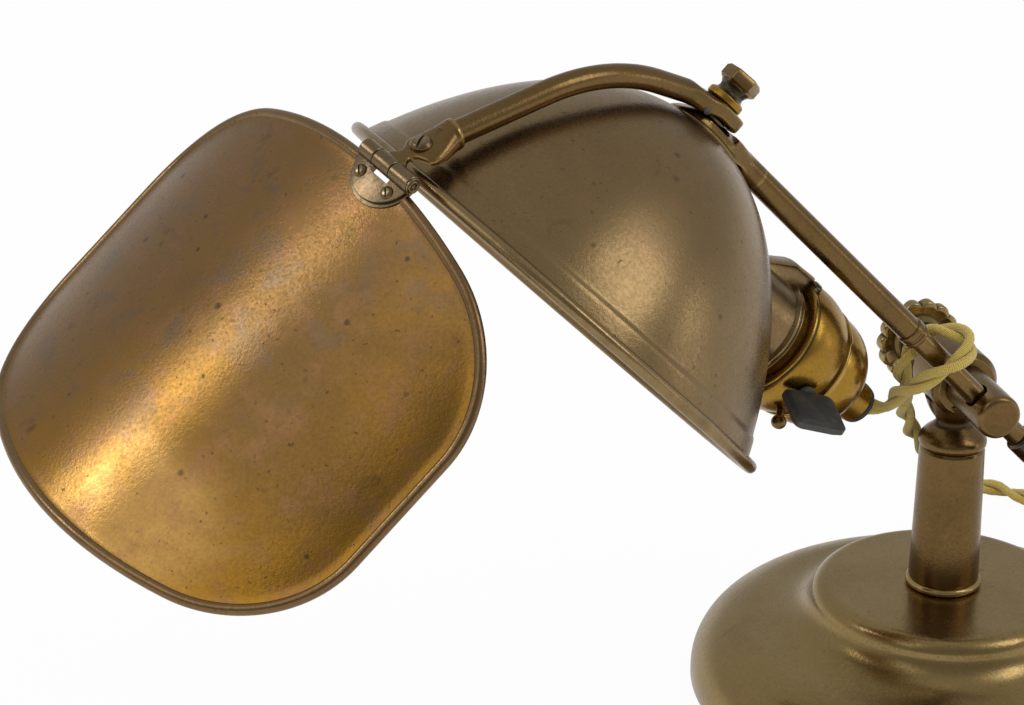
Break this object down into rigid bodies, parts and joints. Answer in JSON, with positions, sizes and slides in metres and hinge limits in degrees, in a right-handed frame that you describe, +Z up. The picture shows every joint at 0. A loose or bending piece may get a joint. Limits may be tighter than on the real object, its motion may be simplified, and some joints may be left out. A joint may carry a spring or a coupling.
{
  "type": "adjustable_desk_lamp",
  "caption": "Antique brass desk lamp: weighted round base, swivel clamp, sliding arm, domed shade with turn-key socket and a folding visor, with a twisted cloth cord and plug.",
  "frame": {"origin": "centre of the foot, on the table", "axes": "+Z up; +X to the right and +Y away from the viewer in the picture, with the shade on the -X side of the stem"},
  "size_m": [0.4945, 0.4604, 0.2569],
  "materials": {
    "brass_aged": "aged, satin",
    "brass_brown": "brown patina, satin",
    "brass_bright": "worn, polished",
    "iron": "rough",
    "felt": "matte felt",
    "steel": "satin",
    "black": "worn matte",
    "porcelain": "unglazed",
    "glass": "frosted",
    "cloth": "braided cloth"
  },
  "bodies": {
    "base": {"felt_pad": "felt", "base_weight": "iron", "base_shell": "brass_brown", "stem_bead": "brass_brown", "stem_tube": "brass_brown", "stem_bush": "brass_bright", "tie_tube": "steel", "base_nut": "steel", "cord_drop": "cloth", "cord_run": "cloth", "cord_coil": "cloth", "cord_end": "cloth", "plug_body": "black", "plug_blades": "brass_bright"},
    "swivel": {"knuckle": "brass_brown", "swivel_pin": "steel", "swivel_nut": "steel"},
    "clamp": {"clamp_sleeve": "brass_brown", "draw_bolt": "steel", "clamp_washer": "brass_aged"},
    "wheel": {"thumb_wheel": "brass_aged"},
    "rod": {"arm_rod": "brass_brown", "rod_stop": "black"},
    "head": {"arm_tube": "brass_brown", "tube_ring": "brass_brown", "arm_tongue": "brass_aged", "shade_shell": "brass_aged", "crown_spacer": "brass_brown", "crown_screw": "brass_aged", "crown_nut": "steel", "fitter_tube": "brass_aged", "fitter_clip": "brass_aged", "clip_screw": "brass_brown", "socket_shell": "brass_bright", "socket_cap": "brass_bright", "socket_core": "porcelain", "socket_bushing": "black", "ball_screw": "brass_brown", "screw_shell": "brass_bright", "bulb_cap": "brass_bright", "bulb_glass": "glass", "cord_lead": "cloth"},
    "key": {"turn_key": "black"},
    "visor_arm": {"arm_boss": "brass_aged", "visor_arm": "brass_aged", "arm_ferrule": "brass_aged", "hinge_strap": "brass_aged", "strap_screw": "brass_aged", "hinge_pin": "brass_aged"},
    "visor": {"hinge_leaf": "brass_aged", "leaf_screws": "brass_aged", "visor_plate": "brass_aged", "visor_edge": "brass_aged"}
  },
  "joints": [
    {"name": "swivel_turn", "type": "hinge", "parent": "base", "child": "swivel", "pos_m": [0, 0, 0.0955], "axis": [0, 0, 1], "range_deg": [-165, 165], "deforming": ["cord_drop", "cord_lead"]},
    {"name": "clamp_tilt", "type": "hinge", "parent": "swivel", "child": "clamp", "pos_m": [0, 0, 0.121], "axis": [-0.2487, 0.9686, 0], "range_deg": [-18, 35], "deforming": ["cord_drop", "cord_lead"]},
    {"name": "wheel_turn", "type": "hinge", "parent": "clamp", "child": "wheel", "pos_m": [-0.0087, 0.0339, 0.121], "axis": [0.2487, -0.9686, 0], "continuous": true},
    {"name": "rod_slide", "type": "slide", "parent": "clamp", "child": "rod", "axis": [-0.6728, -0.1728, 0.7193], "range_m": [-0.008, 0.008], "deforming": ["cord_drop", "cord_lead"]},
    {"name": "head_roll", "type": "hinge", "parent": "rod", "child": "head", "pos_m": [-0.06082, -0.04246, 0.19293], "axis": [-0.6728, -0.1728, 0.7193], "range_deg": [-30, 45], "deforming": ["cord_drop", "cord_lead"]},
    {"name": "key_turn", "type": "hinge", "parent": "head", "child": "key", "pos_m": [-0.05808, -0.05477, 0.13753], "axis": [0.203, -0.9316, -0.3016], "continuous": true},
    {"name": "visor_swing", "type": "hinge", "parent": "head", "child": "visor_arm", "pos_m": [-0.09432, -0.0511, 0.22833], "axis": [0.6534, 0.281, 0.7029], "range_deg": [-120, 75]},
    {"name": "visor_fold", "type": "hinge", "parent": "visor_arm", "child": "visor", "pos_m": [-0.18986, -0.11922, 0.23882], "axis": [-0.6141, 0.7398, 0.275], "range_deg": [-55, 95]}
  ]
}
